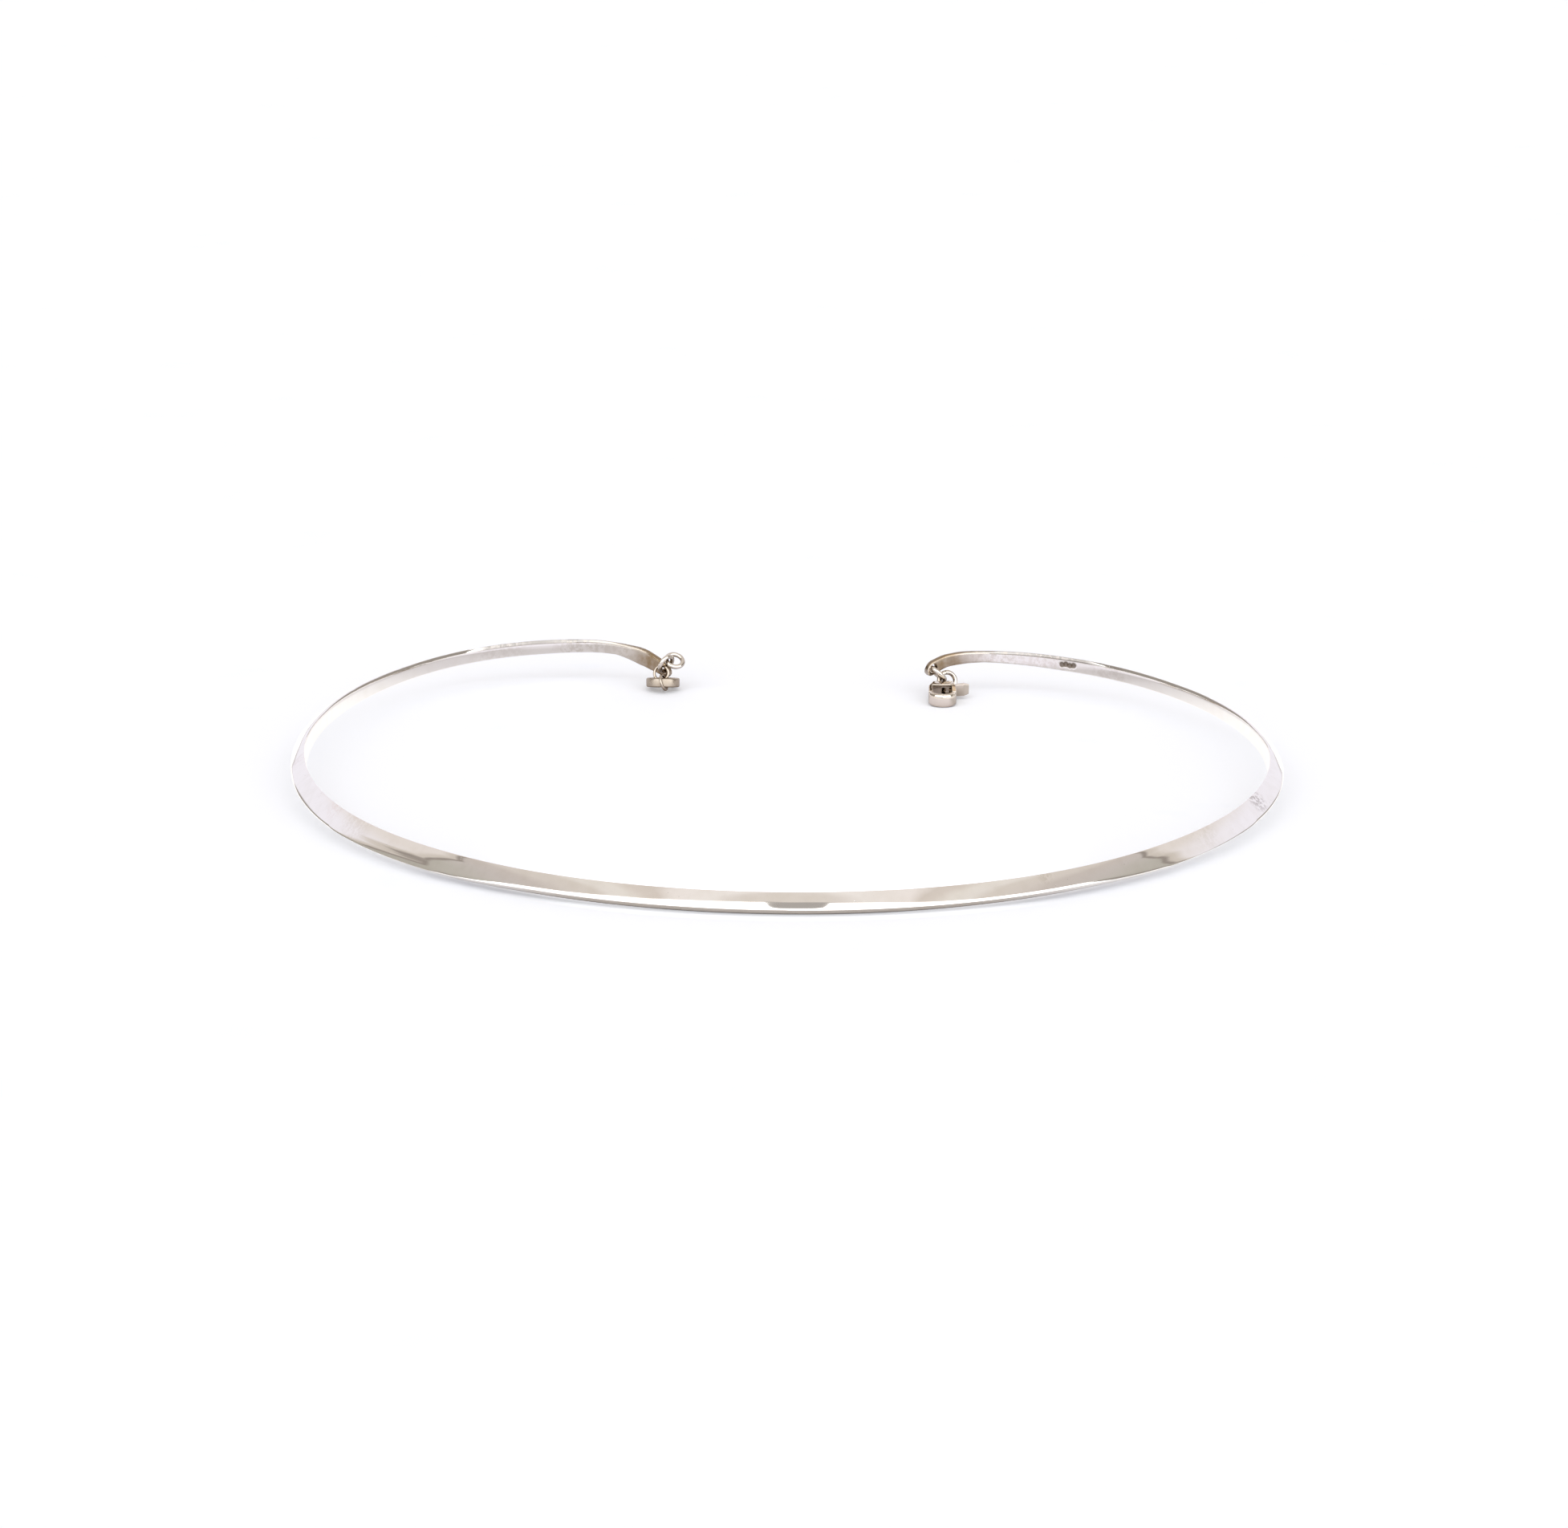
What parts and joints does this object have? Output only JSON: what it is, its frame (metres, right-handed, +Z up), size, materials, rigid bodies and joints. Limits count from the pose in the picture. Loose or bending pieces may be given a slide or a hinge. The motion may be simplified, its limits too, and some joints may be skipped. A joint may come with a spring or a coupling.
{
  "type": "necklace",
  "caption": "Open rigid neck ring with a knife-edge outer ridge and flattened drilled tips, closed behind the neck by jump rings, a flat catch ring and a lobster claw clasp.",
  "frame": {"origin": "under the middle of the whole object, on the table it lies on", "axes": "+X across the neck ring towards the clasp, +Y from the front of the ring towards its opening, +Z up from the table"},
  "size_m": [0.1306, 0.1172, 0.0061],
  "materials": {
    "silver": "polished, lightly worn",
    "ring_silver": "polished wire",
    "clasp_silver": "polished casting"
  },
  "bodies": {
    "neck_ring": {"collar": "silver", "tip_ring_left": "ring_silver", "second_ring_left": "ring_silver", "small_link_1": "ring_silver", "small_link_2": "ring_silver", "catch_ring": "ring_silver", "tip_ring_right": "ring_silver", "second_ring_right": "ring_silver", "clasp_body": "clasp_silver", "clasp_pin": "clasp_silver"},
    "lever": {"clasp_lever": "clasp_silver"}
  },
  "joints": [
    {"name": "lever_hinge", "type": "hinge", "parent": "neck_ring", "child": "lever", "pos_m": [0.02276, 0.04914, 0.00131], "axis": [0, 0.061, -0.9981], "range_deg": [0, 25], "stiffness_Nm_per_rad": 0.002, "springref_deg": -11.46}
  ]
}
